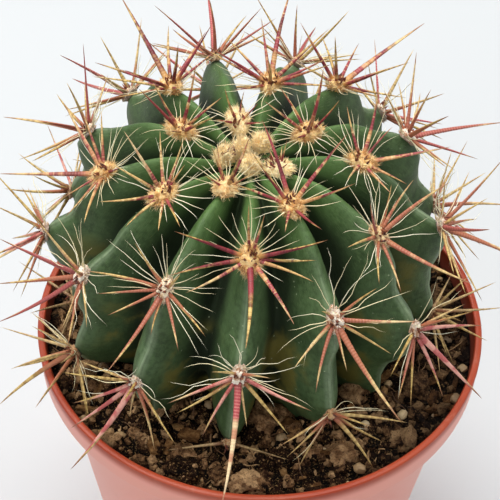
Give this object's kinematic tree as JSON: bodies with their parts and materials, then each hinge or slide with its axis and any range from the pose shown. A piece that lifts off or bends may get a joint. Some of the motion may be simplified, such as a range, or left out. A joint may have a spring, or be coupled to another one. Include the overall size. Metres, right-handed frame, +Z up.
{
  "type": "potted round cactus",
  "caption": "Round ribbed cactus with wool pads and stiff spines on its rib crests, standing in soil in a tapered plastic pot with a flared collar.",
  "frame": {"origin": "middle of the pot's underside", "axes": "+Z up along the pot's axis, -Y towards the side the picture shows in front, +X to that side's right"},
  "size_m": [0.1272, 0.1286, 0.1607],
  "materials": {
    "pot_plastic": "satin",
    "soil_mix": "matte",
    "stem_skin": "satin",
    "crown_wool": "matte",
    "red_spines": "satin",
    "tan_spines": "satin"
  },
  "bodies": {
    "root": {"pot": "pot_plastic", "soil": "soil_mix", "stem": "stem_skin", "areole_01": "crown_wool", "areole_02": "crown_wool", "areole_03": "crown_wool", "areole_04": "crown_wool", "areole_05": "crown_wool", "areole_06": "red_spines", "areole_07": "red_spines", "areole_08": "red_spines", "areole_09": "red_spines", "areole_10": "red_spines", "areole_11": "red_spines", "areole_12": "red_spines", "areole_13": "red_spines", "areole_14": "red_spines", "areole_15": "red_spines", "areole_16": "red_spines", "areole_17": "red_spines", "areole_18": "red_spines", "areole_19": "red_spines", "areole_20": "red_spines", "areole_21": "red_spines", "areole_22": "red_spines", "areole_23": "red_spines", "areole_24": "red_spines", "areole_25": "red_spines", "areole_26": "red_spines", "areole_27": "red_spines", "areole_28": "red_spines", "areole_29": "red_spines", "areole_30": "red_spines", "areole_31": "red_spines", "areole_32": "red_spines", "areole_33": "red_spines", "areole_34": "red_spines", "areole_35": "tan_spines", "areole_36": "tan_spines", "areole_37": "tan_spines", "areole_38": "tan_spines", "areole_39": "tan_spines", "areole_40": "tan_spines", "areole_41": "tan_spines", "areole_42": "tan_spines", "areole_43": "tan_spines"}
  },
  "joints": []
}
